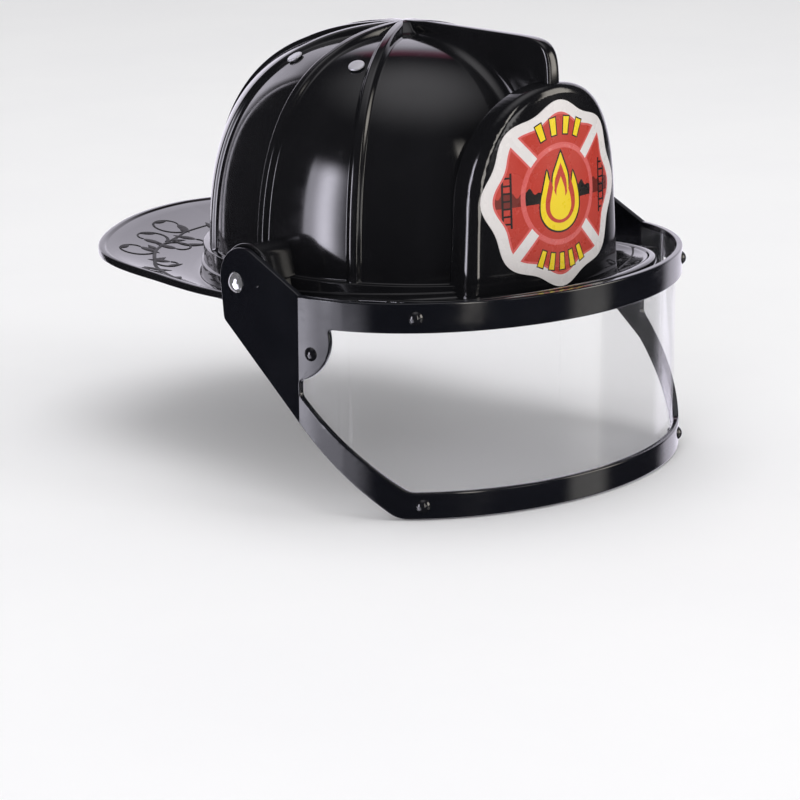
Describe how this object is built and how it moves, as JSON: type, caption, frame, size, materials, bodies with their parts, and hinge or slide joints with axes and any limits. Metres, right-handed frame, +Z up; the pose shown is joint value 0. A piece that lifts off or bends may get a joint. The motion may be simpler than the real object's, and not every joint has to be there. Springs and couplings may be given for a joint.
{
  "type": "firefighter helmet",
  "caption": "Costume fire helmet: ribbed dome with crest, front shield and long rear brim, with a clear framed visor that tilts up on side rivets.",
  "frame": {"origin": "centre of the dome's foot, on the plane where the ribs end", "axes": "+Z up through the crown, -Y towards the front shield, +X towards the wearer's left"},
  "size_m": [0.2434, 0.3094, 0.2133],
  "materials": {
    "black_plastic": "glossy moulded, faint flow marks",
    "frame_plastic": "glossy moulded",
    "rivet_plastic": "glossy",
    "emblem_print": "printed vinyl, semi-gloss",
    "clear_lens": "clear sheet, slight haze",
    "chrome": "polished",
    "satin_steel": "satin",
    "zinc": "bright zinc",
    "strap_plastic": "fine grained, flexible",
    "headband_plastic": "smooth polyethylene",
    "foam": "brushed cloth over foam"
  },
  "bodies": {
    "helmet": {"shell": "black_plastic", "front_shield": "black_plastic", "shield_emblem": "emblem_print", "side_bracket_right": "black_plastic", "side_bracket_left": "black_plastic", "bracket_screws": "zinc", "rivet_backing_washers": "zinc", "crown_strap_front": "strap_plastic", "crown_strap_rear": "strap_plastic", "headband": "headband_plastic", "size_adjuster": "headband_plastic", "brow_pad": "foam", "strap_pegs": "strap_plastic", "pivot_rivet_right": "chrome", "pivot_washer_right": "zinc", "dome_rivet_front_right": "satin_steel", "dome_rivet_rear_right": "satin_steel", "pivot_rivet_left": "chrome", "pivot_washer_left": "zinc", "dome_rivet_front_left": "satin_steel", "dome_rivet_rear_left": "satin_steel"},
    "visor": {"visor_frame": "frame_plastic", "visor_lens": "clear_lens", "lens_rivet_corner_right": "rivet_plastic", "lens_rivet_corner_left": "rivet_plastic", "lens_rivet_top_right": "rivet_plastic", "lens_rivet_top_left": "rivet_plastic", "lens_rivet_bottom_right": "rivet_plastic", "lens_rivet_bottom_left": "rivet_plastic"}
  },
  "joints": [
    {"name": "visor_tilt", "type": "hinge", "parent": "helmet", "child": "visor", "pos_m": [0, -0.011, 0.0038], "axis": [-1, 0, 0], "range_deg": [0, 36]}
  ]
}
